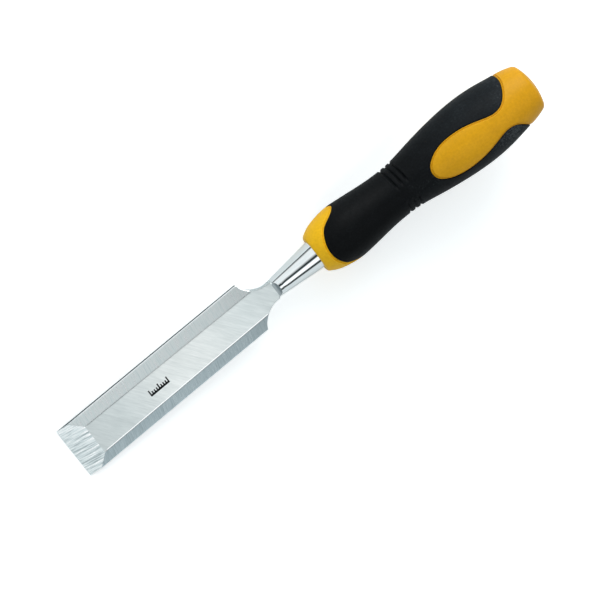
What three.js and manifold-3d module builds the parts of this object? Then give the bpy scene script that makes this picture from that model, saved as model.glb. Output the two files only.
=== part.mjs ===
// Bench chisel, 25 mm: a forged steel blade with its tang in a two-material handle.
//
// Units are millimetres. The origin is on the flat back of the blade, half-way along it and
// half-way across. +X runs from the cutting edge towards the butt of the handle, +Z leaves the
// bevelled side, and the tool is symmetric about the plane y = 0.
//
// Three solids, as the real tool comes apart:
//   blade        one forging: blade, neck, round bolster and the tang hidden in the handle
//   handle_core  hard plastic: nose, palm windows and butt, with the socket for the tang
//   soft_grip    soft overmoulded sleeve round the core, with three finger grooves

import * as THREE from 'three';
import { mergeVertices } from 'three/addons/utils/BufferGeometryUtils.js';
import Module from 'manifold-3d';

const wasm = await Module();
wasm.setup();

const DEGREE = Math.PI / 180;

// ---------------------------------------------------------------- driving dimensions

const GAP = 0.3; // clearance left between two solids that touch

// Blade, measured from the cutting edge
const BLADE_WIDTH = 25;
const BLADE_THICKNESS = 3.8;
const SHOULDER_X = 99.2; // where the parallel sides end
const CUTTING_BEVEL_LENGTH = 10.9;
const SIDE_BEVEL_WIDTH = 5.1; // in plan, at the cutting end
const SIDE_BEVEL_ANGLE = 19.5 * DEGREE;
const SIDE_BEVEL_TAPER = 0.45 * DEGREE; // the ground flat narrows towards the shoulder

// Neck and bolster
const NECK_X = 110.1; // the narrowest place
const NECK_HALF_WIDTH = 4.35;
const NECK_END_X = 114.1; // where the flat neck has run out into the bolster
const SCOOP_X = 111.4; // the top flat ends here in a hollow ground fillet
const SCOOP_RADIUS = 3;
const BOLSTER_AXIS_Z = 1; // height of the bolster's axis above the back of the blade
const BOLSTER_TIP_RADIUS = 4.55;
const BOLSTER_TIP_X = 113.6;
const BOLSTER_RADIUS = 6.75; // at the face of the handle
const BOLSTER_SINK = 2; // how far the bolster enters the nose of the handle

// Tang, from the end of the bolster into the handle
const TANG_LENGTH = 66;
const TANG_ROOT = 8.4; // side of the square section
const TANG_TIP = 4.6;

// Handle
const NOSE_X = 135.4;
const HANDLE_CANT = 4.5 * DEGREE; // the handle rises from the line of the blade's back
const HANDLE_LENGTH = 120.9;
const BUTT_DOME_RADIUS = 28;
const GRIP_THICKNESS = 2.2;

// Handle section: distance from the nose face and radius
const HANDLE_PROFILE = [
  [0, 8.6], [0.5, 9.3], [3.2, 10.87], [7.6, 12.33], [11.5, 13.05], [16.2, 13.4], [21.5, 13.05],
  [28.5, 12.35], [35.4, 11.67], [43.5, 11.4], [51, 11.85], [59.8, 13.28], [66.8, 14.35],
  [75, 15.33], [86.5, 16], [98, 15.4], [107, 14.03], [114.6, 12.6], [116.8, 11.9],
];

// Edge of the grip at the nose and round the palm windows. Each point is the distance from the
// nose face, and the angle round the handle from its top (or bottom) line to its side.
const NOSE_EDGE = [
  [5, 0], [5.7, 22], [7, 36], [9.2, 50], [12, 58], [15, 66], [17.2, 77], [18.1, 90],
];
const WINDOW_EDGE = [
  [60.4, 0], [61.2, 13], [63.4, 22.5], [67, 30.5], [71.5, 34.8], [77, 35.2], [83, 32.3],
  [89, 26.6], [94, 21.2], [98, 19.2], [101.5, 22.5], [104.5, 32], [107, 47.5], [108.5, 65],
  [108.8, 90],
];
const EDGE_ARC_RADIUS = 13; // radius at which an angle is turned into a distance

// Finger grooves round the sides of the grip
const GROOVE_X = [44.6, 47.6, 50.6];
const GROOVE_DEPTH = 0.6;
const GROOVE_WIDTH = 1.6;
const GROOVE_TOP_HALF_WIDTH = 4.5; // the grooves stop short of the top and bottom lines

const HANDLE_SEGMENTS = 36;
const EDGE_STEPS = 2; // steps between two points of an edge
const REACH = 60; // half-size of the blocks that only cut

// ---------------------------------------------------------------- solids and meshes

function toSolid(geometry) {
  const bare = geometry.clone();
  for (const name of Object.keys(bare.attributes)) {
    if (name !== 'position') bare.deleteAttribute(name);
  }
  const merged = mergeVertices(bare, 1e-4);
  const index = merged.index.array;
  const triangles = [];
  for (let i = 0; i < index.length; i += 3) {
    const [a, b, c] = [index[i], index[i + 1], index[i + 2]];
    if (a !== b && b !== c && c !== a) triangles.push(a, b, c);
  }
  return new wasm.Manifold(new wasm.Mesh({
    numProp: 3,
    vertProperties: new Float32Array(merged.attributes.position.array),
    triVerts: new Uint32Array(triangles),
  }));
}

function union(solids) {
  return solids.reduce((whole, solid) => whole.add(solid));
}

function toMesh(name, solid, material) {
  const { vertProperties, triVerts } = solid.getMesh();
  const geometry = new THREE.BufferGeometry();
  geometry.setAttribute('position', new THREE.BufferAttribute(new Float32Array(vertProperties), 3));
  geometry.setIndex(new THREE.BufferAttribute(new Uint32Array(triVerts), 1));
  geometry.computeVertexNormals();
  const mesh = new THREE.Mesh(geometry, material);
  mesh.name = name;
  return mesh;
}

function block([x0, y0, z0], [x1, y1, z1]) {
  const geometry = new THREE.BoxGeometry(x1 - x0, y1 - y0, z1 - z0);
  geometry.translate((x0 + x1) / 2, (y0 + y1) / 2, (z0 + z1) / 2);
  return toSolid(geometry);
}

// Turns an outline [[x, r], ...] round the X axis.
function turned(outline, segments) {
  const geometry = new THREE.LatheGeometry(outline.map(([x, r]) => new THREE.Vector2(r, x)), segments);
  geometry.rotateZ(-Math.PI / 2);
  return toSolid(geometry);
}

// A profile in the XZ plane, given as [[x, z], ...], with its thickness across Y.
function crosswise(profile, halfWidth) {
  const shape = new THREE.Shape(profile.map(([x, z]) => new THREE.Vector2(x, z)));
  const geometry = new THREE.ExtrudeGeometry(shape, { depth: 2 * halfWidth, bevelEnabled: false });
  geometry.rotateX(Math.PI / 2);
  geometry.translate(0, halfWidth, 0);
  return toSolid(geometry);
}

// Points on an arc, both ends included.
function arc(cx, cy, radius, from, to, steps) {
  return Array.from({ length: steps + 1 }, (_, i) => {
    const angle = from + ((to - from) * i) / steps;
    return [cx + radius * Math.cos(angle), cy + radius * Math.sin(angle)];
  });
}

// A smooth curve through the points, in two coordinates.
function smooth(points, steps) {
  const curve = new THREE.CatmullRomCurve3(
    points.map(([a, b]) => new THREE.Vector3(a, b, 0)), false, 'centripetal');
  return curve.getPoints((points.length - 1) * steps).map((p) => [p.x, p.y]);
}

// ---------------------------------------------------------------- blade

// Plan of the blade and neck: parallel sides, hollow shoulders, and a rounded end in the bolster.
function bladePlate() {
  const half = BLADE_WIDTH / 2;
  const along = NECK_X - SHOULDER_X;
  const across = half - NECK_HALF_WIDTH;
  const radius = (along ** 2 + across ** 2) / (2 * across);
  const start = Math.asin(along / radius);
  const shoulder = arc(NECK_X, NECK_HALF_WIDTH + radius, radius,
    -Math.PI / 2 - start, -Math.PI / 2, 14);
  const endLength = NECK_END_X - NECK_X;
  const end = arc(0, 0, 1, Math.PI / 2, 0, 6)
    .map(([c, s]) => [NECK_X + endLength * c, NECK_HALF_WIDTH * s]);
  const side = [[0, half], ...shoulder, ...end.slice(1)];
  const outline = [...side, ...side.slice(0, -1).reverse().map(([x, y]) => [x, -y])];
  const shape = new THREE.Shape(outline.map(([x, y]) => new THREE.Vector2(x, y)));
  const geometry = new THREE.ExtrudeGeometry(shape, { depth: BLADE_THICKNESS, bevelEnabled: false });
  return toSolid(geometry);
}

// What the grinding of one side bevel takes away. side is 1 for +Y and -1 for -Y.
function sideBevelCutter(side) {
  const slope = Math.tan(SIDE_BEVEL_ANGLE);
  const reach = 2 * SIDE_BEVEL_WIDTH;
  const section = new THREE.Shape([
    new THREE.Vector2(0, BLADE_THICKNESS),
    new THREE.Vector2(reach, BLADE_THICKNESS - reach * slope),
    new THREE.Vector2(reach, BLADE_THICKNESS + reach * slope),
    new THREE.Vector2(-reach, BLADE_THICKNESS + reach * slope),
  ]);
  const geometry = new THREE.ExtrudeGeometry(section, { depth: 2 * NECK_X, bevelEnabled: false });
  geometry.applyMatrix4(new THREE.Matrix4().makeBasis(
    new THREE.Vector3(0, 1, 0), new THREE.Vector3(0, 0, 1), new THREE.Vector3(1, 0, 0)));
  geometry.translate(-NECK_X, 0, 0);
  geometry.rotateZ(-SIDE_BEVEL_TAPER);
  geometry.translate(0, BLADE_WIDTH / 2 - SIDE_BEVEL_WIDTH, 0);
  const cutter = toSolid(geometry);
  return side > 0 ? cutter : cutter.mirror([0, 1, 0]);
}

function cuttingBevelCutter() {
  const slope = BLADE_THICKNESS / CUTTING_BEVEL_LENGTH;
  const past = 1.2 * CUTTING_BEVEL_LENGTH;
  return crosswise([[-1, -slope], [past, past * slope], [-1, past * slope]], BLADE_WIDTH);
}

// The bolster rises out of the back of the neck and widens to the handle.
function bolster() {
  const root = smooth([
    [102.2, 0.4], [105.7, 1.35], [108.7, 2.5], [111.1, 3.75], [BOLSTER_TIP_X, BOLSTER_TIP_RADIUS],
    [116.6, BOLSTER_TIP_RADIUS + 0.3],
  ], 3);
  const end = NOSE_X + BOLSTER_SINK;
  return turned([[101.7, 0], ...root, [NOSE_X, BOLSTER_RADIUS], [end, BOLSTER_RADIUS], [end, 0]], 40)
    .translate([0, 0, BOLSTER_AXIS_Z]);
}

// The hollow fillet at the end of the top flat, and everything above the flat before it.
function scoopCutter() {
  const top = BLADE_THICKNESS + 2 * SCOOP_RADIUS;
  const fillet = arc(SCOOP_X, BLADE_THICKNESS + SCOOP_RADIUS, SCOOP_RADIUS, -Math.PI / 2, 0, 10);
  return crosswise([[SHOULDER_X, BLADE_THICKNESS], ...fillet,
    [SCOOP_X + SCOOP_RADIUS, top], [SHOULDER_X, top]], BLADE_WIDTH);
}

// Places a geometry made along the handle's own axis, with x = 0 at the nose face.
function onHandleAxis(object) {
  object.position.set(NOSE_X, 0, BOLSTER_AXIS_Z);
  object.rotation.y = -HANDLE_CANT;
  object.updateMatrix();
  return object;
}

// A square tang with a blunt point, grown on every side by the clearance.
function tang(clearance) {
  const from = clearance > 0 ? 0 : BOLSTER_SINK - 1;
  const length = TANG_LENGTH + clearance;
  const pointLength = 5;
  const size = (x) => TANG_ROOT + ((TANG_TIP - TANG_ROOT) * x) / TANG_LENGTH + 2 * clearance;
  const diagonal = Math.SQRT1_2;
  const outline = [[from, 0], [from, size(from) * diagonal], [length - pointLength,
    size(length - pointLength) * diagonal], [length, TANG_TIP / 3 + clearance], [length, 0]];
  const geometry = new THREE.LatheGeometry(outline.map(([x, r]) => new THREE.Vector2(r, x)), 4);
  geometry.rotateY(Math.PI / 4);
  geometry.rotateZ(-Math.PI / 2);
  return geometry;
}

function bladeSolid() {
  const tangGeometry = tang(0).applyMatrix4(onHandleAxis(new THREE.Group()).matrix);
  const plate = bladePlate().subtract(sideBevelCutter(1)).subtract(sideBevelCutter(-1))
    .subtract(cuttingBevelCutter());
  return plate.add(bolster()).subtract(scoopCutter()).add(toSolid(tangGeometry));
}

// ---------------------------------------------------------------- handle

// The whole handle, or its core where shrink is the depth below the surface.
function handleBody(shrink) {
  const dome = (r) => HANDLE_LENGTH - shrink
    - (BUTT_DOME_RADIUS - Math.sqrt(BUTT_DOME_RADIUS ** 2 - r ** 2));
  const side = smooth(HANDLE_PROFILE, 1)
    .map(([x, r]) => [x, r - shrink])
    .filter(([x, r]) => x >= shrink && x < dome(r));
  const edge = side.at(-1)[1];
  const buttRadii = [0.93, 0.84, 0.62, 0.36].map((share) => share * edge);
  return turned([[side[0][0], 0], ...side, ...buttRadii.map((r) => [dome(r), r]), [dome(0), 0]],
    HANDLE_SEGMENTS);
}

// One quarter of the edge, as [x, angle in radians], moved by offset towards larger x.
function edgePoints(edge, offset) {
  const toArc = ([x, angle]) => [x, angle * DEGREE * EDGE_ARC_RADIUS];
  const knots = edge.map(toArc);
  const [first, second] = knots;
  const [last, before] = [knots.at(-1), knots.at(-2)];
  const mirrored = [[second[0], -second[1]], ...knots, [before[0], 2 * last[1] - before[1]]];
  const line = smooth(mirrored, EDGE_STEPS).slice(EDGE_STEPS, -EDGE_STEPS);
  return line.map(([x, a], i) => {
    const [xa, aa] = line[Math.max(i - 1, 0)];
    const [xb, ab] = line[Math.min(i + 1, line.length - 1)];
    const atEnd = i === 0 || i === line.length - 1;
    const length = Math.hypot(xb - xa, ab - aa);
    const nx = atEnd ? 1 : (ab - aa) / length;
    const na = atEnd ? 0 : -(xb - xa) / length;
    return [x + offset * nx, (a + offset * na) / EDGE_ARC_RADIUS];
  });
}

// A solid whose walls all point at the handle's axis, above an outline [[x, angle], ...].
function radialSolid(outline) {
  const shape = new THREE.Shape(outline.map(([x, angle]) => new THREE.Vector2(x, angle)));
  const geometry = new THREE.ExtrudeGeometry(shape, { depth: REACH - 1, bevelEnabled: false });
  const position = geometry.attributes.position;
  for (let i = 0; i < position.count; i += 1) {
    const [x, angle, radius] = [position.getX(i), position.getY(i), position.getZ(i) + 1];
    position.setXYZ(i, x, radius * Math.sin(angle), radius * Math.cos(angle));
  }
  return toSolid(geometry);
}

// The four quarters of one edge: two at the top line and two at the bottom line.
function allQuarters(outline) {
  const overlap = 0.02;
  return [[0, 1], [0, -1], [Math.PI, 1], [Math.PI, -1]].map(([base, sign]) => radialSolid(
    outline.map(([x, angle]) => {
      let a = angle;
      if (angle < 1e-6) a = -overlap;
      if (angle > Math.PI / 2 - 1e-6) a = Math.PI / 2 + overlap;
      return [x, base + sign * a];
    })));
}

// Everything that the soft grip leaves free: the nose, both palm windows and the butt.
function openZone(offset) {
  const nose = edgePoints(NOSE_EDGE, offset);
  const palm = edgePoints(WINDOW_EDGE, -offset);
  const noseFoot = nose[0][0] - 1;
  const palmFoot = palm.at(-1)[0] + 1;
  const noseQuarter = [...nose, [noseFoot, Math.PI / 2], [noseFoot, 0]];
  const palmQuarter = [...palm, [palmFoot, Math.PI / 2], [palmFoot, 0]];
  return union([
    block([-REACH, -REACH, -REACH], [nose[0][0], REACH, REACH]),
    block([palm.at(-1)[0], -REACH, -REACH], [HANDLE_LENGTH + REACH, REACH, REACH]),
    ...allQuarters(noseQuarter),
    ...allQuarters(palmQuarter),
  ]);
}

function coreSolid() {
  const pads = handleBody(0).intersect(openZone(-GAP / 2));
  const radius = BOLSTER_RADIUS + GAP + 0.1;
  const depth = BOLSTER_SINK + GAP + radius * Math.tan(HANDLE_CANT); // the bolster isn't canted
  const counterbore = turned([[-1, 0], [-1, radius], [depth, radius], [depth, 0]], HANDLE_SEGMENTS);
  return handleBody(GRIP_THICKNESS + GAP).add(pads)
    .subtract(counterbore).subtract(toSolid(tang(GAP)));
}

function grooveCutters() {
  const sides = union([1, -1].map((side) => block(
    [-REACH, Math.min(side * GROOVE_TOP_HALF_WIDTH, side * REACH), -REACH],
    [REACH + HANDLE_LENGTH, Math.max(side * GROOVE_TOP_HALF_WIDTH, side * REACH), REACH])));
  const radiusAt = (x) => {
    const line = smooth(HANDLE_PROFILE, 4);
    return line.reduce((best, p) => (Math.abs(p[0] - x) < Math.abs(best[0] - x) ? p : best))[1];
  };
  return GROOVE_X.map((x) => {
    const radius = radiusAt(x);
    const half = GROOVE_WIDTH / 2;
    return turned([[x, radius - GROOVE_DEPTH], [x - half, radius + GROOVE_DEPTH],
      [x + half, radius + GROOVE_DEPTH], [x, radius - GROOVE_DEPTH]], HANDLE_SEGMENTS).intersect(sides);
  });
}

function gripSolid() {
  const sleeve = handleBody(0).subtract(handleBody(GRIP_THICKNESS)).subtract(openZone(GAP / 2));
  return grooveCutters().reduce((grip, cutter) => grip.subtract(cutter), sleeve);
}

// ---------------------------------------------------------------- assembly

const groundSteel = new THREE.MeshStandardMaterial({ color: 0xd2dadb, roughness: 0.35, metalness: 0.95 });
const yellowPlastic = new THREE.MeshStandardMaterial({ color: 0xd99a1c, roughness: 0.42, metalness: 0 });
const blackRubber = new THREE.MeshStandardMaterial({ color: 0x16191c, roughness: 0.75, metalness: 0 });

const handle = onHandleAxis(new THREE.Group());
handle.add(toMesh('handle_core', coreSolid(), yellowPlastic));
handle.add(toMesh('soft_grip', gripSolid(), blackRubber));

const chisel = new THREE.Group();
chisel.add(toMesh('blade', bladeSolid(), groundSteel), handle);
chisel.position.x = -SHOULDER_X / 2; // from the cutting edge to the middle of the blade's back

const bench_chisel = new THREE.Group();
bench_chisel.add(chisel);

export default bench_chisel;
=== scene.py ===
import math

import bmesh
import bpy
import numpy as np
from mathutils import Matrix, Vector
from mathutils.geometry import delaunay_2d_cdt


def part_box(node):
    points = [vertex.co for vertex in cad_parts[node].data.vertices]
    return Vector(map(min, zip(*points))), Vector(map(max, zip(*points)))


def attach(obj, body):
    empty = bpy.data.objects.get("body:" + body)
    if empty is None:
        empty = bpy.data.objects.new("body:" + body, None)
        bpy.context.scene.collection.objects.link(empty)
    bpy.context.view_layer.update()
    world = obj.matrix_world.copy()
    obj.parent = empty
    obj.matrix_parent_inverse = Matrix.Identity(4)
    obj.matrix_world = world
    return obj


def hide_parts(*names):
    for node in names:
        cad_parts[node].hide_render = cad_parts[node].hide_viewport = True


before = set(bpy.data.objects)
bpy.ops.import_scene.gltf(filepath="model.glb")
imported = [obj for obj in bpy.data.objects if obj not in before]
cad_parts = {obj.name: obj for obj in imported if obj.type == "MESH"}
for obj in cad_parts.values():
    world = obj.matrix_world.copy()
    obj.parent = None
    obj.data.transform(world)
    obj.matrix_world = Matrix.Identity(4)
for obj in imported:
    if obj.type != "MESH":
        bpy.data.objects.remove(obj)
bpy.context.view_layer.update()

# Bench chisel, 25 mm. Shapes are worked out in millimetres: x from the cutting edge towards the
# butt, z out of the bevelled face, and y across. The handle has its own axis, which leaves the
# face of the bolster at NOSE_X and rises by HANDLE_CANT. Both are turned into metres at the end.

MM = 0.001
EDGE_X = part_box("blade")[0].x  # the cutting edge, in the frame

# ------------------------------------------------------------------ sizes, in millimetres

BLADE_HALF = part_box("blade")[1].y / MM
BLADE_THICKNESS = 3.8
SHOULDER_X = 99.2
CUTTING_BEVEL = 10.9
EDGE_THICKNESS = 0.05
SIDE_BEVEL_WIDTH = 5.1
SIDE_BEVEL_SLOPE = math.tan(math.radians(19.5))
SIDE_BEVEL_TAPER = math.tan(math.radians(0.45))
NECK_X = 110.1
NECK_HALF = 4.35
FADE_X = NECK_X + 0.9
NECK_FADE = 3.6  # beyond FADE_X the flat neck runs out into the bolster over this length
NECK_BLEND = 0.9  # how softly the two grow into each other
SOFTENED_X = 102.0  # from here the edges of the neck are rounded more and more
SOFTENED_LENGTH = 6.0
EVEN_X = 116.0  # from here the points of a section spread evenly round the bolster
EVEN_LENGTH = 9.0
SCOOP_X = 111.75  # where the top flat ends in a hollow fillet
SCOOP_RADIUS = 2.1
SCOOP_SPREAD = 2.6  # beyond the hollow its lines of points move apart by this much
SCOOP_SPREAD_GAP = 0.3
SCOOP_SPREAD_LENGTH = 5.0
POLISH_X = SCOOP_X + 0.9  # from here the polish may reach the upper side
AXIS_Z = 1.0  # height of the bolster's axis
BOLSTER = [  # (x, radius)
    (101.7, 0.0), (102.2, 0.4), (105.7, 1.35), (108.7, 2.6), (111.1, 3.95), (113.6, 4.55),
    (116.6, 4.87), (126.0, 5.81), (135.4, 6.75), (138.0, 7.01),
]
NOSE_X = 135.4
BOLSTER_END = NOSE_X + 1.2  # the last stretch is hidden in the handle
TANG = [(1.9, 6.0), (2.0, 5.9), (61.0, 3.5), (66.0, 1.2)]  # (distance from the nose, size)
TANG_SQUARE = 1.2 * math.sqrt(0.5)  # half diagonal of the square section, for a size of 1

HANDLE_CANT = math.radians(4.5)
HANDLE_LENGTH = 120.9
BUTT_DOME_RADIUS = 28.0
GRIP_THICKNESS = 2.2
RECESS_DEPTH = 2.5
HANDLE_PROFILE = [  # (distance from the nose, radius)
    (0.5, 9.3), (3.2, 10.87), (7.6, 12.33), (11.5, 13.05), (16.2, 13.4), (21.5, 13.05),
    (28.5, 12.35), (35.4, 11.67), (43.5, 11.4), (51.0, 11.85), (59.8, 13.28), (66.8, 14.35),
    (75.0, 15.33), (86.5, 16.0), (98.0, 15.4), (107.0, 14.03), (114.6, 12.6), (116.8, 11.9),
]
# Edges of the grip: distance from the nose, and angle in degrees from the top line.
NOSE_EDGE = [(5, 0), (5.7, 22), (7, 36), (9.2, 50), (12, 58), (15, 66), (17.2, 77), (18.1, 90)]
WINDOW_EDGE = [
    (60.4, 0), (61.2, 13), (63.4, 22.5), (67, 30.5), (71.5, 34.8), (77, 35.2), (83, 32.3),
    (89, 26.6), (94, 21.2), (98, 19.2), (101.5, 22.5), (104.5, 32), (107, 47.5), (108.5, 65),
    (108.8, 90),
]
UNROLL_RADIUS = 13.0  # radius at which an angle is turned into a distance
SEAM = 0.05  # half of the fine gap between the grip and the hard plastic
# Cross-section of each piece at the seam: distance from its edge, and height over the profile.
GRIP_LIP = [(0, -0.3), (0.04, -0.17), (0.12, -0.07), (0.25, -0.015), (0.45, 0), (0.8, 0)]
CORE_LIP = [
    (0, -0.55), (0.06, -0.4), (0.18, -0.3), (0.42, -0.27), (0.56, -0.46), (0.66, -0.56),
    (0.76, -0.46), (0.92, -0.08), (1.05, -0.01), (1.2, 0), (1.4, 0),
]
GROOVE_X = [44.9, 47.7, 50.4]
GROOVE_DEPTH = 0.72
GROOVE_HALF = 0.55
GROOVE_SOFT = 1.5  # the sides of a groove run out over this many half-widths
GROOVE_BOW = 0.6  # the grooves lie this much nearer to the nose at the sides
GROOVE_BAND = (42.6, 53.2)  # the stretch with the grooves
GROOVE_FADE = (14, 16)  # the angle where they start, and the degrees over which they deepen
NOSE_START = 1.0
BUTT_START = 112.6
SOCKET = [(66.6, 0), (66.6, 3.9), (2.9, 6.4), (2.9, 7.0), (0.35, 7.0), (0.12, 7.08), (0, 7.3), (0, 7.9)]
BUTT_SIDE_END = 117.0
BUTT_CORNER = (118.35, 11.45)
BUTT_DOME_HALF = 10.2
QUARTER = math.pi / 2
RING_STEPS = 24  # steps in a quarter of a turned ring


# ------------------------------------------------------------------ curves

def spline(points):
    """A natural cubic spline through the points, as a function of the first coordinate."""
    x, y = (np.array(column, float) for column in zip(*points))
    n, h = len(x), np.diff(x)
    system, right = np.eye(n), np.zeros(n)
    for i in range(1, n - 1):
        system[i, i - 1:i + 2] = h[i - 1], 2 * (h[i - 1] + h[i]), h[i]
        right[i] = 6 * ((y[i + 1] - y[i]) / h[i] - (y[i] - y[i - 1]) / h[i - 1])
    bend = np.linalg.solve(system, right)

    def value(at):
        at = np.asarray(at, float)
        i = np.clip(np.searchsorted(x, at) - 1, 0, n - 2)
        a, b = x[i + 1] - at, at - x[i]
        return (
            (bend[i] * a ** 3 + bend[i + 1] * b ** 3) / (6 * h[i])
            + (y[i] / h[i] - bend[i] * h[i] / 6) * a
            + (y[i + 1] / h[i] - bend[i + 1] * h[i] / 6) * b
        )

    return value


def smoothstep(t):
    t = np.clip(t, 0, 1)
    return t * t * (3 - 2 * t)


def soft_max(a, b, blend):
    overlap = np.maximum(blend - np.abs(a - b), 0) / blend
    return np.maximum(a, b) + overlap ** 2 * blend / 4


def quadratic(start, corner, end, steps):
    """Points on a rounded corner, both ends included."""
    t = np.linspace(0, 1, steps + 1)[:, None]
    start, corner, end = (np.array(p, float) for p in (start, corner, end))
    return [tuple(p) for p in start * (1 - t) ** 2 + 2 * corner * t * (1 - t) + end * t ** 2]


handle_radius = spline(HANDLE_PROFILE)
bolster_radius = spline(BOLSTER)


# ------------------------------------------------------------------ meshes

handle_matrix = (
    Matrix.Translation((EDGE_X + NOSE_X * MM, 0, AXIS_Z * MM))
    @ Matrix.Rotation(-HANDLE_CANT, 4, "Y")
    @ Matrix.Scale(MM, 4)
)
blade_matrix = Matrix.Translation((EDGE_X, 0, 0)) @ Matrix.Scale(MM, 4)


class Shell:
    """A surface put together from patches, whose shared borders are welded at the end."""

    def __init__(self):
        self.points, self.faces, self.kinds = [], [], []

    def add(self, points, faces, kind=0, flip=False):
        first = len(self.points)
        self.points.extend(tuple(map(float, p)) for p in points)
        for i, face in enumerate(faces):
            face = [first + v for v in face]
            self.faces.append(face[::-1] if flip else face)
            self.kinds.append(kind[i] if isinstance(kind, list) else kind)

    def rings(self, rings, kind):
        """A tube of quads over rings of points of equal length."""
        width = len(rings[0])
        faces = [
            [r * width + c, r * width + (c + 1) % width,
             (r + 1) * width + (c + 1) % width, (r + 1) * width + c]
            for r in range(len(rings) - 1) for c in range(width)
        ]
        self.add([p for ring in rings for p in ring], faces, kind)

    def object(self, name, materials, matrix, sharp=40.0):
        mesh = bpy.data.meshes.new(name)
        mesh.from_pydata(self.points, [], self.faces)
        mesh.polygons.foreach_set("material_index", self.kinds)
        for material in materials:
            mesh.materials.append(material)
        weld(mesh)
        mesh.transform(matrix)
        mesh.polygons.foreach_set("use_smooth", [True] * len(mesh.polygons))
        mesh.set_sharp_from_angle(angle=math.radians(sharp))
        piece = bpy.data.objects.new(name, mesh)
        bpy.context.scene.collection.objects.link(piece)
        return piece


def weld(mesh):
    """Joins points that lie together and turns all faces outwards, in millimetres."""
    bm = bmesh.new()
    bm.from_mesh(mesh)
    bmesh.ops.remove_doubles(bm, verts=bm.verts, dist=0.0008)
    bmesh.ops.dissolve_degenerate(bm, edges=bm.edges, dist=0.0002)
    bmesh.ops.recalc_face_normals(bm, faces=bm.faces)
    bm.to_mesh(mesh)
    bm.free()


# ------------------------------------------------------------------ blade

def shoulder_stations():
    """(x, half-width) along the hollow shoulder, which is an arc that runs out square to the neck."""
    along, across = NECK_X - SHOULDER_X, BLADE_HALF - NECK_HALF
    radius = (along ** 2 + across ** 2) / (2 * across)
    angles = np.linspace(math.asin(along / radius), 0, 34)
    return [(NECK_X - radius * math.sin(a), NECK_HALF + radius * (1 - math.cos(a))) for a in angles]


SHOULDER = shoulder_stations()


def blade_stations():
    """Places along the blade, with the half-width at each. They crowd where the shape turns."""
    heel = CUTTING_BEVEL
    at_heel = [heel - 0.25, heel - 0.1, heel + 0.1, heel + 0.25]
    tip = [0, 0.1, 0.3, *np.arange(0.8, heel - 0.5, 0.55), *at_heel]
    body = [*np.linspace(heel + 1.5, SHOULDER_X - 1.5, 30), SHOULDER_X - 0.25, SHOULDER_X - 0.08]
    neck = np.arange(NECK_X + 0.2, 115, 0.13)
    cone = np.linspace(115.2, BOLSTER_END, 26)
    wide = [(x, BLADE_HALF) for x in (*tip, *body)]
    return wide + SHOULDER + [(x, NECK_HALF) for x in (*neck, *cone)]


def spread(length, count, start_round, end_round):
    """Places along a side of a section: two close to each rounded corner, the others even."""
    gap = 0.11  # between the two places beside a rounded corner
    starts = [min(start_round, 0.25 * length), min(start_round + gap, 0.35 * length)]
    ends = [min(end_round, 0.25 * length), min(end_round + gap, 0.35 * length)]
    low, high = (starts[1] if start_round else 0), length - (ends[1] if end_round else 0)
    places = list(np.linspace(low, high, count))
    return starts[:1] * bool(start_round) + places + [length - ends[0]] * bool(end_round)


def top_height(x):
    """Height of the top face: the cutting bevel, the flat, then the hollow fillet."""
    bevel = EDGE_THICKNESS + x * (BLADE_THICKNESS - EDGE_THICKNESS) / CUTTING_BEVEL
    if x < SCOOP_X:
        return min(bevel, BLADE_THICKNESS)
    rise = min(x - SCOOP_X, SCOOP_RADIUS)
    return BLADE_THICKNESS + SCOOP_RADIUS - math.sqrt(SCOOP_RADIUS ** 2 - rise ** 2)


def crescent_half(x):
    """Half-width of the hollow fillet, projected from the bolster's axis onto the flat."""
    flat = BLADE_THICKNESS - AXIS_Z
    at = min(max(x, SCOOP_X), SCOOP_X + SCOOP_RADIUS)
    rise = top_height(at) - AXIS_Z
    half = math.sqrt(max(float(bolster_radius(at)) ** 2 - rise ** 2, 0)) * flat / rise
    beyond = (x - SCOOP_X - SCOOP_RADIUS - SCOOP_SPREAD_GAP) / SCOOP_SPREAD_LENGTH
    return half + SCOOP_SPREAD * float(smoothstep(beyond))


# Finishes, in the order of the blade's materials.
(
    GROUND_FLAT, GROUND_TIP, GROUND_LEFT, RIGHT_BEVEL_SHADED, GROUND_LAND, GROUND_BACK,
    POLISHED, HOLLOW, WORN_AND_HIGHLIGHT,
) = range(9)

# Faces that differ between the two halves of a section: the bevel, and the rounded edges beside it.
# The right bevel carries painted shade, and one rounded edge on each side is worn steel with a painted
# highlight.
BEVEL, FLAT_EDGE, SIDE_EDGE = range(9, 12)
LEFT_FINISH = {BEVEL: GROUND_LEFT, FLAT_EDGE: GROUND_FLAT, SIDE_EDGE: WORN_AND_HIGHLIGHT}
RIGHT_FINISH = {BEVEL: RIGHT_BEVEL_SHADED, FLAT_EDGE: WORN_AND_HIGHLIGHT, SIDE_EDGE: RIGHT_BEVEL_SHADED}


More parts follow.
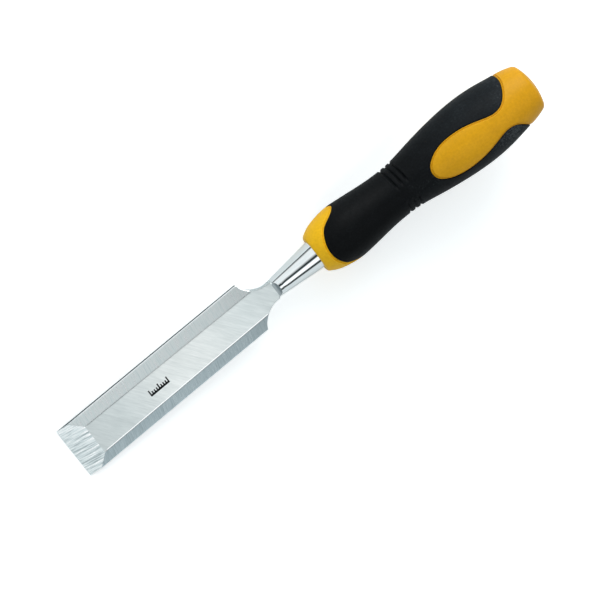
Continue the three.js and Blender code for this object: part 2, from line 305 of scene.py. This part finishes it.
def blade_section(x, half):
    """Half of a section, from the top centre line down to the back, and each side's finish."""
    top = min(top_height(x), BLADE_THICKNESS)
    bevel_start = BLADE_HALF - SIDE_BEVEL_WIDTH - x * SIDE_BEVEL_TAPER
    # Small margins keep the corners of a section apart where a face runs out.
    flat_half = min(bevel_start + (BLADE_THICKNESS - top) / SIDE_BEVEL_SLOPE, half - 0.04)
    land = BLADE_THICKNESS - (half - bevel_start) * SIDE_BEVEL_SLOPE
    land = max(min(land, top - 0.015), 0.4 * top)
    inner = max(min(crescent_half(x), 0.8 * flat_half), 0.06)
    corners = [(0, top), (inner, top), (flat_half, top), (half, land), (half, 0), (0, 0)]
    counts = [7, 8, 7, 4, 14]
    at_neck = float(smoothstep((x - SOFTENED_X) / SOFTENED_LENGTH))
    bevelled = x > CUTTING_BEVEL + 0.3 and half > bevel_start + 0.3
    flat_round = (0.5 if bevelled else 0.05) + 0.4 * at_neck
    side_round = (0.1 if bevelled else 0.05) + 0.4 * at_neck
    rim_round = 0.26 if bevelled else 0.07
    starts = [0, 0.01, side_round, 0.07 + 0.9 * at_neck, 0.07 + 0.5 * at_neck]
    ends = [0.01, flat_round, rim_round + 0.9 * at_neck, 0.07 + 0.5 * at_neck, 0]
    ground = [GROUND_FLAT, GROUND_FLAT, BEVEL, GROUND_LAND, GROUND_BACK]
    if x < CUTTING_BEVEL:
        ground[0] = ground[1] = GROUND_TIP
    if x > SHOULDER_X:
        ground[3] = BEVEL
    points, finish = [], []
    for i, count in enumerate(counts):
        (y0, z0), (y1, z1) = corners[i], corners[i + 1]
        length = math.hypot(y1 - y0, z1 - z0)
        for place in spread(length, count, starts[i], ends[i]):
            t = place / length
            points.append((y0 + t * (y1 - y0), z0 + t * (z1 - z0)))
            finish.append(ground[i])
        if bevelled and i in (1, 2):
            finish[-1] = FLAT_EDGE if i == 1 else SIDE_EDGE
    return np.array(points), finish


def full_section(x, half):
    """The closed outline at x, with the bolster's round grown into the blade's section."""
    points, finish = blade_section(x, half)
    if x > BOLSTER[0][0]:
        rel = points - (0, AXIS_Z)
        angle = np.arctan2(rel[:, 1], rel[:, 0])
        even = np.linspace(QUARTER, -QUARTER, len(angle))
        angle += (even - angle) * smoothstep((x - EVEN_X) / EVEN_LENGTH)
        plate = np.hypot(rel[:, 0], rel[:, 1]) * (1 - smoothstep((x - FADE_X) / NECK_FADE))
        bolster = float(bolster_radius(x))
        radius = np.full(len(angle), bolster)
        if x < FADE_X + NECK_FADE:
            radius = soft_max(plate, bolster, NECK_BLEND)
        rising = np.sin(angle) > 0.05  # the upper side, away from level
        if x < SCOOP_X + SCOOP_RADIUS:
            cap = (top_height(x) - AXIS_Z) / np.where(rising, np.sin(angle), 1)
            radius = np.where(rising, np.minimum(radius, cap), radius)
        bare = (points[:, 1] < 0.2) | (x > POLISH_X)  # the back, and the whole section later on
        grown = (bolster > plate * 1.004) & bare | (x > FADE_X + NECK_FADE)
        finish = [POLISHED if new else kind for new, kind in zip(grown, finish)]
        # The hollow fillet gets the dark steel that paints its shade.
        if SCOOP_X < x < SCOOP_X + SCOOP_RADIUS:
            cut = rising & (cap <= bolster * 0.999)
            finish = [HOLLOW if hit else kind for hit, kind in zip(cut, finish)]
        points = np.stack([radius * np.cos(angle), radius * np.sin(angle) + AXIS_Z], 1)
    points[0, 0] = points[-1, 0] = 0
    ring = [(x, y, z) for y, z in points] + [(x, -y, z) for y, z in points[-2:0:-1]]
    left = [LEFT_FINISH.get(kind, kind) for kind in finish]
    right = [RIGHT_FINISH.get(kind, kind) for kind in finish]
    return ring, left + right[-3::-1]


def make_blade(materials):
    shell = Shell()
    sections = [full_section(x, half) for x, half in blade_stations()]
    rings = [ring for ring, _ in sections]
    kinds = [kind for _, finish in sections[1:] for kind in finish]
    shell.rings(rings, kinds)
    width = len(rings[0])
    shell.add(rings[0], [list(range(width))[::-1]], GROUND_TIP)
    tang = []
    for x, size in TANG:
        angles = np.linspace(QUARTER, QUARTER - 2 * math.pi, width, endpoint=False)
        turned = angles + math.pi / 4
        square = TANG_SQUARE * size / (np.abs(np.cos(turned)) + np.abs(np.sin(turned)))
        c, s = math.cos(HANDLE_CANT), math.sin(HANDLE_CANT)
        tang.append([
            (NOSE_X + x * c - r * math.sin(a) * s, r * math.cos(a),
             AXIS_Z + x * s + r * math.sin(a) * c)
            for a, r in zip(angles, square)
        ])
    shell.rings([rings[-1], *tang], GROUND_BACK)
    shell.add(tang[-1], [list(range(width))], GROUND_BACK)
    return shell.object("ground_blade", materials, blade_matrix, sharp=50)


# ------------------------------------------------------------------ handle surfaces

def edge_line(knots, step=0.42):
    """An edge of the grip in one quarter, as evenly spaced [x, angle], square to both mirrors."""
    points = [np.array((x, math.radians(a) * UNROLL_RADIUS)) for x, a in knots]
    end = QUARTER * UNROLL_RADIUS
    before = [p * (1, -1) for p in points[2:0:-1]]
    after = [np.array((p[0], 2 * end - p[1])) for p in points[-2:-4:-1]]
    line = before + points + after
    length = np.concatenate([[0], np.cumsum([math.dist(a, b) for a, b in zip(line, line[1:])])])
    curve_x = spline(list(zip(length, [p[0] for p in line])))
    curve_a = spline(list(zip(length, [p[1] for p in line])))
    low, high = length[2], length[-3]
    t = np.linspace(low, high, int((high - low) / step))
    edge = np.stack([curve_x(t), curve_a(t) / UNROLL_RADIUS], 1)
    edge[0, 1], edge[-1, 1] = 0, QUARTER
    return edge


def offset_line(edge, distance):
    """The edge moved along the surface: a positive distance is towards the butt at the nose edge."""
    step = np.gradient(edge, axis=0)
    radius = handle_radius(edge[:, 0])
    along, around = step[:, 0], step[:, 1] * radius
    size = np.hypot(along, around)
    moved = edge + np.stack([distance * around / size, -distance * along / size / radius], 1)
    moved[0] = edge[0] + (distance, 0)
    moved[-1] = edge[-1] + (distance, 0)
    return moved


def lift(line, height):
    """[x, angle] points as (x, angle, radius), at a height over the handle's profile."""
    return [(x, a, float(handle_radius(x)) + height) for x, a in line]


def lip_rows(edge, lip, direction, gap):
    """The rows of a lip along an edge. A direction of 1 is towards the butt at the nose edge."""
    return [lift(offset_line(edge, direction * (gap + distance)), height) for distance, height in lip]


def straight(x0, x1, angle, step=1.0):
    """Points between x0 and x1 on a mirror line, both ends left out."""
    count = max(2, round(abs(x1 - x0) / step))
    return [(x, angle) for x in np.linspace(x0, x1, count + 1)[1:-1]]


def ring_line(x, descending=False, bow=0.0):
    """A quarter of a ring as [x, angle], which may bow towards the nose at the side."""
    angles = np.linspace(0, QUARTER, RING_STEPS + 1)
    line = [(x - bow * math.sin(a) ** 2, a) for a in angles]
    return line[::-1] if descending else line


def inside(point, outline):
    """Whether a point lies in an outline, by the number of its sides beyond the point."""
    x, y = point
    x0, y0 = outline[:, 0], outline[:, 1]
    x1, y1 = np.roll(x0, -1), np.roll(y0, -1)
    crosses = (y0 > y) != (y1 > y)
    with np.errstate(divide="ignore", invalid="ignore"):
        at = x0 + (y - y0) * (x1 - x0) / (y1 - y0)
    return bool(np.count_nonzero(crosses & (x < at)) % 2)


def fill(outline, spacing=0.95):
    """Triangles over the area inside an outline of [x, angle] points."""
    flat = np.array([(x, a * UNROLL_RADIUS) for x, a in outline])
    low, high = flat.min(0), flat.max(0)
    grid = []
    for j, y in enumerate(np.arange(low[1] + spacing * 0.45, high[1], spacing * 0.866)):
        for x in np.arange(low[0] + (j % 2) * spacing / 2, high[0], spacing):
            near = np.min(np.hypot(flat[:, 0] - x, flat[:, 1] - y))
            if near > 0.55 * spacing and inside((x, y), flat):
                grid.append((x, y))
    border = list(range(len(flat)))
    points = [Vector(p) for p in [*map(tuple, flat), *grid]]
    edges = [(i, (i + 1) % len(flat)) for i in border]
    out, _, faces, *_ = delaunay_2d_cdt(points, edges, [border], 1, 1e-7)
    return [(p.x, p.y / UNROLL_RADIUS) for p in out], [list(f) for f in faces]


def groove_depth(x, angle):
    """Depth of the finger grooves, which fade out near the top and bottom lines."""
    straightened = x + GROOVE_BOW * math.sin(angle) ** 2
    first, length = GROOVE_FADE
    fade = float(smoothstep((math.degrees(angle) - first) / length))
    depth = 0
    for at in GROOVE_X:
        t = abs(straightened - at) / GROOVE_HALF
        depth = max(depth, (1 - smoothstep(t / GROOVE_SOFT)) * GROOVE_DEPTH)
    return float(depth) * fade


def in_all_quarters(shell, patches):
    """Repeats patches of (x, angle, radius) points in the four quarters round the handle."""
    for base, sign in ((0, 1), (0, -1), (math.pi, 1), (math.pi, -1)):
        for points, faces, flip in patches:
            turned = [(x, base + sign * a, r) for x, a, r in points]
            shell.add([(x, r * math.sin(a), r * math.cos(a)) for x, a, r in turned], faces, flip=flip)


def grid_patch(rows):
    """Quads over rows of (x, angle, radius) points: the points, the faces and whether to flip them."""
    width = len(rows[0])
    faces = [
        [r * width + c, r * width + c + 1, (r + 1) * width + c + 1, (r + 1) * width + c]
        for r in range(len(rows) - 1) for c in range(width - 1)
    ]
    return [p for row in rows for p in row], faces, False


def fill_patch(outline, height, spacing=0.95):
    points, faces = fill(outline, spacing)
    return lift(points, height), faces, False


nose_edge = edge_line(NOSE_EDGE)
window_edge = edge_line(WINDOW_EDGE)


def flat_line(row):
    """(x, angle, radius) points without their radius."""
    return [(x, a) for x, a, _ in row]


def make_grip(material):
    nose = lip_rows(nose_edge, GRIP_LIP, 1, SEAM)
    window = lip_rows(window_edge, GRIP_LIP, -1, SEAM)
    front_row, rear_row = flat_line(nose[-1]), flat_line(window[-1])
    start, end = GROOVE_BAND
    band_xs = np.linspace(start, end, round((end - start) / 0.15))
    band = [
        [(x, a, float(handle_radius(x)) - groove_depth(x, a)) for x, a in ring_line(at, bow=GROOVE_BOW)]
        for at in band_xs
    ]
    front_band, rear_band = ring_line(start, bow=GROOVE_BOW), ring_line(end, bow=GROOVE_BOW)
    front = [
        *front_row, *straight(front_row[-1][0], front_band[-1][0], QUARTER),
        *front_band[::-1], *straight(front_band[0][0], front_row[0][0], 0),
    ]
    rear = [
        *rear_band, *straight(rear_band[-1][0], rear_row[-1][0], QUARTER),
        *rear_row[::-1], *straight(rear_row[0][0], rear_band[0][0], 0),
    ]
    outer = [
        grid_patch(nose), grid_patch(window), grid_patch(band),
        fill_patch(front, 0), fill_patch(rear, 0),
    ]
    inner = [(lift(flat_line(points), -GRIP_THICKNESS), faces, True) for points, faces, _ in outer]
    walls = [grid_patch([row, lift(flat_line(row), -GRIP_THICKNESS)]) for row in (nose[0], window[0])]
    shell = Shell()
    in_all_quarters(shell, outer + inner + walls)
    return shell.object("grip_sleeve", [material], handle_matrix, sharp=35)


def turned_patch(profile):
    """A quarter of a turned surface over (x, radius) points."""
    return grid_patch([[(x, a, r) for _, a in ring_line(0)] for x, r in profile])


def make_core(material):
    nose = lip_rows(nose_edge, CORE_LIP, -1, SEAM)
    window = lip_rows(window_edge, CORE_LIP, 1, SEAM)
    nose_row, window_row = flat_line(nose[-1]), flat_line(window[-1])
    nose_pad = [
        *ring_line(NOSE_START), *straight(NOSE_START, nose_row[-1][0], QUARTER),
        *nose_row[::-1], *straight(nose_row[0][0], NOSE_START, 0),
    ]
    palm_pad = [
        *window_row, *straight(window_row[-1][0], BUTT_START, QUARTER),
        *ring_line(BUTT_START, descending=True), *straight(BUTT_START, window_row[0][0], 0),
    ]
    recess = [
        *flat_line(nose[0]), *straight(nose[0][-1][0], window[0][-1][0], QUARTER, 3),
        *flat_line(window[0])[::-1], *straight(window[0][0][0], nose[0][0][0], 0, 3),
    ]
    dome = [
        (HANDLE_LENGTH - BUTT_DOME_RADIUS + math.sqrt(BUTT_DOME_RADIUS ** 2 - r ** 2), r)
        for r in np.linspace(BUTT_DOME_HALF, 0, 14)
    ]
    nose_outer = (NOSE_START, float(handle_radius(NOSE_START)))
    mouth = [*SOCKET, *quadratic((0, 8.35), (0, 9.0), nose_outer, 7)]
    sides = [(x, float(handle_radius(x))) for x in np.linspace(BUTT_START, BUTT_SIDE_END, 6)]
    butt = [*sides[:-1], *quadratic(sides[-1], BUTT_CORNER, dome[0], 9), *dome[1:]]
    patches = [
        grid_patch(nose), grid_patch(window), turned_patch(mouth), turned_patch(butt),
        fill_patch(nose_pad, 0), fill_patch(palm_pad, 0), fill_patch(recess, -RECESS_DEPTH, 3.5),
        *(grid_patch([row, lift(flat_line(row), -RECESS_DEPTH)]) for row in (nose[0], window[0])),
    ]
    shell = Shell()
    in_all_quarters(shell, patches)
    return shell.object("core_and_pads", [material], handle_matrix, sharp=45)


# ------------------------------------------------------------------ size mark

def make_size_mark(material):
    """A small graduation printed on the flat: a base line with long and short ticks."""
    line, bar, height = 0.64, 0.95, 0.012
    long_tick, short_tick = 1.6, 0.5
    start, pitch, count, base_y = 41.2, 1.2, 9, -1.5
    outline = [(start, base_y), (start + pitch * (count - 1) + line, base_y)]
    for i in reversed(range(count)):
        left = start + i * pitch
        reach = long_tick if i % 4 == 0 else short_tick
        outline += [(left + line, reach), (left, reach)]
        if i > 0:
            outline += [(left, base_y + bar), (left - pitch + line, base_y + bar)]
    n = len(outline)
    points = [(x, y, z) for z in (BLADE_THICKNESS - 0.01, BLADE_THICKNESS + height) for x, y in outline]
    walls = [[i, (i + 1) % n, (i + 1) % n + n, i + n] for i in range(n)]
    shell = Shell()
    shell.add(points, [list(range(n))[::-1], list(range(n, 2 * n)), *walls])
    return shell.object("size_mark", [material], blade_matrix)


# ------------------------------------------------------------------ materials

class Nodes:
    """Short forms for building a material's nodes."""

    def __init__(self, name):
        self.material = bpy.data.materials.new(name)
        self.material.use_nodes = True
        self.tree = self.material.node_tree
        self.shader = self.tree.nodes["Principled BSDF"]
        self.coordinates = self.tree.nodes.new("ShaderNodeTexCoord").outputs["Object"]

    def link(self, output, target):
        self.tree.links.new(output, target)

    def stretched(self, scale, turn=0.0):
        """Coordinates that are turned about Z first, and then scaled along each axis."""
        node = self.tree.nodes.new("ShaderNodeMapping")
        node.vector_type = "TEXTURE"
        node.inputs["Scale"].default_value = [1 / value for value in scale]
        node.inputs["Rotation"].default_value = (0, 0, turn)
        self.link(self.coordinates, node.inputs["Vector"])
        return node.outputs["Vector"]

    def noise(self, scale, detail=4.0, stretch=(1, 1, 1), turn=0.0, roughness=0.55):
        node = self.tree.nodes.new("ShaderNodeTexNoise")
        node.inputs["Scale"].default_value = scale
        node.inputs["Detail"].default_value = detail
        node.inputs["Roughness"].default_value = roughness
        self.link(self.stretched(stretch, turn), node.inputs["Vector"])
        return node.outputs["Fac"]

    def ramp(self, source, stops):
        node = self.tree.nodes.new("ShaderNodeValToRGB")
        ramp = node.color_ramp
        while len(ramp.elements) < len(stops):
            ramp.elements.new(0.5)
        for element, (position, colour) in zip(ramp.elements, stops):
            element.position = position
            element.color = (*(colour if isinstance(colour, tuple) else [colour] * 3), 1)
        self.link(source, node.inputs["Fac"])
        return node.outputs["Color"]

    def spread(self, source, low, high, out_low, out_high):
        node = self.tree.nodes.new("ShaderNodeMapRange")
        sockets = ("From Min", "From Max", "To Min", "To Max")
        for socket, value in zip(sockets, (low, high, out_low, out_high)):
            node.inputs[socket].default_value = value
        self.link(source, node.inputs["Value"])
        return node.outputs["Result"]

    def add(self, a, b, share=1.0):
        """a plus a share of b."""
        node = self.tree.nodes.new("ShaderNodeMath")
        node.operation = "MULTIPLY_ADD"
        self.link(b, node.inputs[0])
        node.inputs[1].default_value = share
        self.link(a, node.inputs[2])
        return node.outputs["Value"]

    def toned(self, colour, tones):
        """colour times a shade that changes along the tool: tones are (x in millimetres, shade)."""
        split = self.tree.nodes.new("ShaderNodeSeparateXYZ")
        self.link(self.coordinates, split.inputs[0])
        low, high = tones[0][0], tones[-1][0]
        place = self.spread(split.outputs["X"], EDGE_X + low * MM, EDGE_X + high * MM, 0, 1)
        shade = self.ramp(place, [((x - low) / (high - low), value) for x, value in tones])
        mix = self.tree.nodes.new("ShaderNodeMix")
        mix.data_type, mix.blend_type = "RGBA", "MULTIPLY"
        mix.inputs["Factor"].default_value = 1
        self.link(colour, mix.inputs[6])
        self.link(shade, mix.inputs[7])
        return mix.outputs[2]

    def bump(self, height, strength, distance):
        node = self.tree.nodes.new("ShaderNodeBump")
        node.inputs["Strength"].default_value = strength
        node.inputs["Distance"].default_value = distance
        self.link(height, node.inputs["Height"])
        self.link(node.outputs["Normal"], self.shader.inputs["Normal"])

    def set(self, **values):
        for name, value in values.items():
            self.shader.inputs[name.replace("_", " ")].default_value = value

    def to(self, **outputs):
        for name, output in outputs.items():
            self.link(output, self.shader.inputs[name.replace("_", " ")])


def ground_steel(name, across, colours, roughness, depth, turn=0.0, coarse=300.0, streaks=0.7, tones=()):
    """Ground steel. across is the direction in which the scratches follow each other, and streaks
    says how much the coarser ones show. tones are broad changes of brightness at distances from
    the cutting edge, which paint light and shade into the steel's colour."""
    m = Nodes(name)
    fine = tuple(4.5 if axis == across else 0.35 for axis in "xyz")
    wide = tuple(2.4 if axis == across else 0.14 for axis in "xyz")
    scratches = m.noise(420, 5, fine, turn, 0.7)
    bands = m.noise(coarse, 3, wide, turn, 0.6)
    clouds = m.noise(34, 4)
    middle = 0.5 * (1.4 + streaks)
    mixed = m.add(m.add(scratches, bands, streaks), clouds, 0.4)
    shade = m.spread(mixed, middle - 0.32, middle + 0.32, 0, 1)
    colour = m.ramp(shade, [(0, colours[0]), (0.5, colours[1]), (1, colours[2])])
    m.to(Base_Color=m.toned(colour, tones) if tones else colour)
    m.to(Roughness=m.spread(shade, 0, 1, roughness + 0.06, roughness - 0.05))
    m.set(Metallic=1.0)
    m.bump(m.add(scratches, bands, 0.8), depth, 0.00006)
    return m.material


def polished_steel():
    m = Nodes("polished_steel")
    lines = m.noise(300, 4, (0.4, 6, 6))
    clouds = m.noise(40, 3)
    mixed = m.add(lines, clouds, 0.6)
    stops = [(0, (0.86, 0.90, 0.91)), (1, (0.96, 0.98, 0.985))]
    m.to(Base_Color=m.ramp(m.spread(mixed, 0.5, 1.1, 0, 1), stops))
    m.to(Roughness=m.spread(mixed, 0.5, 1.1, 0.06, 0.03))
    m.set(Metallic=1.0)
    m.bump(lines, 0.03, 0.00002)
    return m.material


def hard_plastic():
    m = Nodes("hard_plastic")
    clouds = m.noise(38, 4)
    grain = m.noise(900, 3)
    scuffs = m.noise(260, 5, (0.25, 1, 1), 0.4, 0.75)
    mixed = m.add(clouds, grain, 0.8)
    stops = [(0, (0.75, 0.43, 0.008)), (0.5, (0.82, 0.47, 0.009)), (1, (0.89, 0.52, 0.011))]
    tones = [
        (130, (0.98, 0.97, 1)), (150, (0.95, 0.91, 1)), (180, (0.81, 0.72, 0.9)), (256, (0.83, 0.70, 0.8)),
    ]
    m.to(Base_Color=m.toned(m.ramp(m.spread(mixed, 0.68, 1.12, 0, 1), stops), tones))
    m.to(Roughness=m.spread(m.add(scuffs, grain, 0.3), 0.45, 0.9, 0.36, 0.52))
    m.set(Specular_IOR_Level=0.14)
    m.bump(m.add(grain, clouds, 0.4), 0.12, 0.00006)
    return m.material


def grip_rubber():
    m = Nodes("grip_rubber")
    clouds = m.noise(45, 4)
    grain = m.noise(1300, 3)
    pits = m.noise(520, 2)
    mixed = m.add(clouds, grain, 0.8)
    stops = [
        (0, (0.0055, 0.0070, 0.0085)), (0.5, (0.0095, 0.0125, 0.0150)), (0.8, (0.016, 0.020, 0.023)),
        (1, (0.050, 0.058, 0.062)),
    ]
    # Painted shade and sheen: the rubber is darkened strongly towards the nose and left lightest at the
    # butt.
    tones = [(135, 0.22), (170, 0.30), (200, 0.45), (222, 0.85), (250, 1.0)]
    m.to(Base_Color=m.toned(m.ramp(m.spread(mixed, 0.68, 1.16, 0, 1), stops), tones))
    m.to(Roughness=m.spread(m.add(pits, clouds, 0.6), 0.5, 1.1, 0.44, 0.62))
    m.set(Specular_IOR_Level=0.08)
    m.bump(m.add(grain, pits, 0.8), 0.5, 0.00008)
    return m.material


def mark_ink():
    m = Nodes("mark_ink")
    wear = m.noise(700, 4)
    m.to(Base_Color=m.ramp(wear, [(0.3, (0.003, 0.003, 0.004)), (0.85, (0.02, 0.021, 0.022))]))
    m.to(Roughness=m.spread(wear, 0.3, 0.7, 0.45, 0.7))
    m.set(Specular_IOR_Level=0.08)
    return m.material


def blade_materials():
    """The materials of the blade, in the order of its finishes."""
    light = [(0.70, 0.745, 0.74), (0.80, 0.84, 0.83), (0.90, 0.93, 0.92)]
    tip = [(0.33, 0.40, 0.42), (0.72, 0.80, 0.81), (1.0, 1.0, 1.0)]
    side = [(0.74, 0.83, 0.84), (0.92, 0.99, 0.99), (1.0, 1.0, 1.0)]
    # Painted shade: the right bevel is a darker, bluer copy of the left bevel's steel.
    right = [(0.55, 0.65, 0.68), (0.72, 0.82, 0.86), (0.86, 0.95, 0.98)]
    # Painted shade: the narrow side lands are given a very dark steel colour.
    land_shade = [(0.05, 0.068, 0.075), (0.08, 0.105, 0.115), (0.14, 0.17, 0.18)]
    # Painted shade: the hollow fillet between the flat and the bolster is given dark steel.
    hollow = [(0.20, 0.24, 0.26), (0.32, 0.37, 0.39), (0.46, 0.52, 0.54)]
    # Painted shade: both side bevels are darkened towards the shoulder.
    shade = [(0, 1.0), (50, 0.96), (85, 0.9), (99, 0.80)]
    # Painted reflection: the flat is made brightest in the middle and darker towards the tip and the
    # shoulder.
    along = [
        (0, (0.73, 0.76, 0.77)), (12, (0.73, 0.76, 0.77)), (28, (0.80, 0.83, 0.84)), (52, (1, 1, 1)),
        (72, (1, 1, 1)), (95, (0.84, 0.87, 0.88)), (114, (0.77, 0.80, 0.81)),
    ]
    bevel = {"coarse": 1100, "streaks": 1.0, "tones": shade}
    return [
        ground_steel("ground_flat", "x", light, 0.34, 0.15, 0.62, coarse=240, streaks=0.5, tones=along),
        ground_steel("ground_cutting_bevel", "y", tip, 0.30, 0.65, -0.09, coarse=460, streaks=1.3),
        ground_steel("ground_left_bevel", "x", side, 0.30, 0.3, -0.18, **bevel),
        # The right bevel's steel carries painted shade.
        ground_steel("right_bevel_painted_shade", "x", right, 0.30, 0.3, -0.2, **bevel),
        # The lands' steel carries painted shade.
        ground_steel("land_painted_shade", "z", land_shade, 0.32, 0.15),
        ground_steel("ground_back", "y", light, 0.32, 0.12),
        polished_steel(),
        # The hollow fillet's steel carries painted shade.
        ground_steel("hollow_painted_shade", "z", hollow, 0.38, 0.2),
        # Partly real wear and partly a painted highlight: bright smooth steel on the edge between the flat
        # and the right bevel and on the rim of the left bevel.
        ground_steel("worn_edge_and_highlight", "y", [(0.93, 0.96, 0.96), (0.98, 1, 1), (1, 1, 1)], 0.12, 0.05),
    ]


# ------------------------------------------------------------------ stage, light and camera

def make_floor():
    """A pale floor under the two places that the tool rests on: cutting edge and handle."""
    under = [handle_matrix @ Vector((x, 0, -float(handle_radius(x)))) for x in range(1, 116)]
    tilt = max(math.atan2(-point.z, point.x - EDGE_X) for point in under)
    size, gap = 3.0, 0.0002
    mesh = bpy.data.meshes.new("floor")
    corners = [(-size, -size, 0), (size, -size, 0), (size, size, 0), (-size, size, 0)]
    mesh.from_pydata(corners, [], [(0, 1, 2, 3)])
    floor = bpy.data.objects.new("floor", mesh)
    bpy.context.scene.collection.objects.link(floor)
    floor.matrix_world = Matrix.Translation((EDGE_X, 0, -gap)) @ Matrix.Rotation(tilt, 4, "Y")
    m = Nodes("pale_floor")
    cloud = m.noise(3, 2)
    m.to(Base_Color=m.ramp(cloud, [(0, (0.76, 0.80, 0.81)), (1, (0.79, 0.83, 0.84))]))
    m.set(Roughness=0.9, Specular_IOR_Level=0.1, Emission_Color=(1, 1, 1, 1))
    lift_to_white = 0.5  # only the camera sees this, so it doesn't light the tool
    path = m.tree.nodes.new("ShaderNodeLightPath")
    m.to(Emission_Strength=m.spread(path.outputs["Is Camera Ray"], 0, 1, 0, lift_to_white))
    mesh.materials.append(m.material)


# The studio: soft strip lights and dark gaps that run along the tool. Each has its two sides, in
# degrees round the tool's length from +Z towards +Y, and its brightness.
PANELS = [
    (-180, -110, 0.42), (-90, -60, 0.75), (-50, -40, 0.04), (-30, -10, 1.2), (0, 10, 0.04),
    (27, 70, 0.92), (84, 90, 0.05), (105, 130, 0.66), (150, 180, 0.42),
]


def panel_ramp(tree, source):
    """The brightness of PANELS for an angle that is given as 0 to 1 over the whole turn."""
    node = tree.nodes.new("ShaderNodeValToRGB")
    elements = node.color_ramp.elements
    sides = [(side, value) for start, end, value in PANELS for side in (start, end)]
    while len(elements) < len(sides):
        elements.new(0.5)
    for element, (degrees, value) in zip(elements, sides):
        element.position = (degrees + 180) / 360
        dim = max(0, 1 - value)  # the dimmer parts are a little bluer
        element.color = (value * (0.98 - 0.24 * dim), value, value * (1.01 + 0.05 * dim), 1)
    tree.links.new(source, node.inputs["Fac"])
    return node.outputs["Color"]


def make_studio():
    """The panels light the tool, and the camera sees an even white behind it."""
    world = bpy.data.worlds.new("studio")
    bpy.context.scene.world = world
    world.use_nodes = True
    tree = world.node_tree
    new, link = tree.nodes.new, tree.links.new
    direction = new("ShaderNodeTexCoord").outputs["Generated"]
    split = new("ShaderNodeSeparateXYZ")
    link(direction, split.inputs[0])
    angle = new("ShaderNodeMath")
    angle.operation = "ARCTAN2"
    link(split.outputs["Y"], angle.inputs[0])
    link(split.outputs["Z"], angle.inputs[1])
    turn = new("ShaderNodeMapRange")
    turn.inputs["From Min"].default_value = -math.pi
    turn.inputs["From Max"].default_value = math.pi
    link(angle.outputs[0], turn.inputs["Value"])
    seen = new("ShaderNodeMix")
    seen.data_type = "RGBA"
    link(new("ShaderNodeLightPath").outputs["Is Camera Ray"], seen.inputs["Factor"])
    link(panel_ramp(tree, turn.outputs["Result"]), seen.inputs[6])
    seen.inputs[7].default_value = (0.97, 0.97, 0.97, 1)
    link(seen.outputs[2], tree.nodes["Background"].inputs["Color"])


def soft_light(name, direction, distance, size, power):
    """A round lamp that faces the tool. It stands at a distance in metres in the given direction."""
    light = bpy.data.lights.new(name, "AREA")
    light.shape, light.size, light.energy = "DISK", size, power
    lamp = bpy.data.objects.new(name, light)
    aim_x = 150
    target = Vector((EDGE_X + aim_x * MM, 0, 0))
    back = Vector(direction).normalized()
    lamp.location = target + back * distance
    lamp.rotation_mode = "QUATERNION"
    lamp.rotation_quaternion = (-back).to_track_quat("-Z", "Y")
    bpy.context.scene.collection.objects.link(lamp)


def make_camera():
    """A long lens above the bevelled face. The tool is seen rolled, pitched and turned."""
    roll, pitch, turn = (math.radians(v) for v in (19.26, 7.81, 39.704))
    distance, shift_right, shift_up, aim_x = 1444.1, -0.58, -15.2, 128.0
    lift_axis = Vector((0, math.sin(roll), math.cos(roll)))
    along = Vector((math.cos(pitch), 0, 0)) + math.sin(pitch) * lift_axis
    across = Vector((0, -math.cos(roll), math.sin(roll)))
    back = Vector((-math.sin(pitch), 0, 0)) + math.cos(pitch) * lift_axis
    right = math.cos(turn) * along + math.sin(turn) * across
    up = math.sin(turn) * along - math.cos(turn) * across
    place = Vector((aim_x, 0, 0)) + distance * back + shift_right * right + shift_up * up
    data = bpy.data.cameras.new("camera")
    data.lens, data.sensor_width, data.clip_start, data.clip_end = 200, 36, 0.05, 20
    camera = bpy.data.objects.new("camera", data)
    rotation = Matrix((right, up, back)).transposed().to_4x4()
    camera.matrix_world = Matrix.Translation(place * MM + Vector((EDGE_X, 0, 0))) @ rotation
    bpy.context.scene.collection.objects.link(camera)
    bpy.context.scene.camera = camera


# ------------------------------------------------------------------ build

make_camera()
make_studio()
make_floor()
soft_light("key", direction=(0.9, 1.3, 0.7), distance=1.2, size=1.0, power=9.5)
bpy.context.scene.view_settings.view_transform = "Standard"

for piece, node, slot in (
    (make_blade(blade_materials()), "blade", "blade_steel"),
    (make_core(hard_plastic()), "handle_core", "handle_plastic"),
    (make_grip(grip_rubber()), "soft_grip", "grip_rubber"),
):
    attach(piece, "root")
    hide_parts(node)

size_mark = make_size_mark(mark_ink())
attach(size_mark, "root")
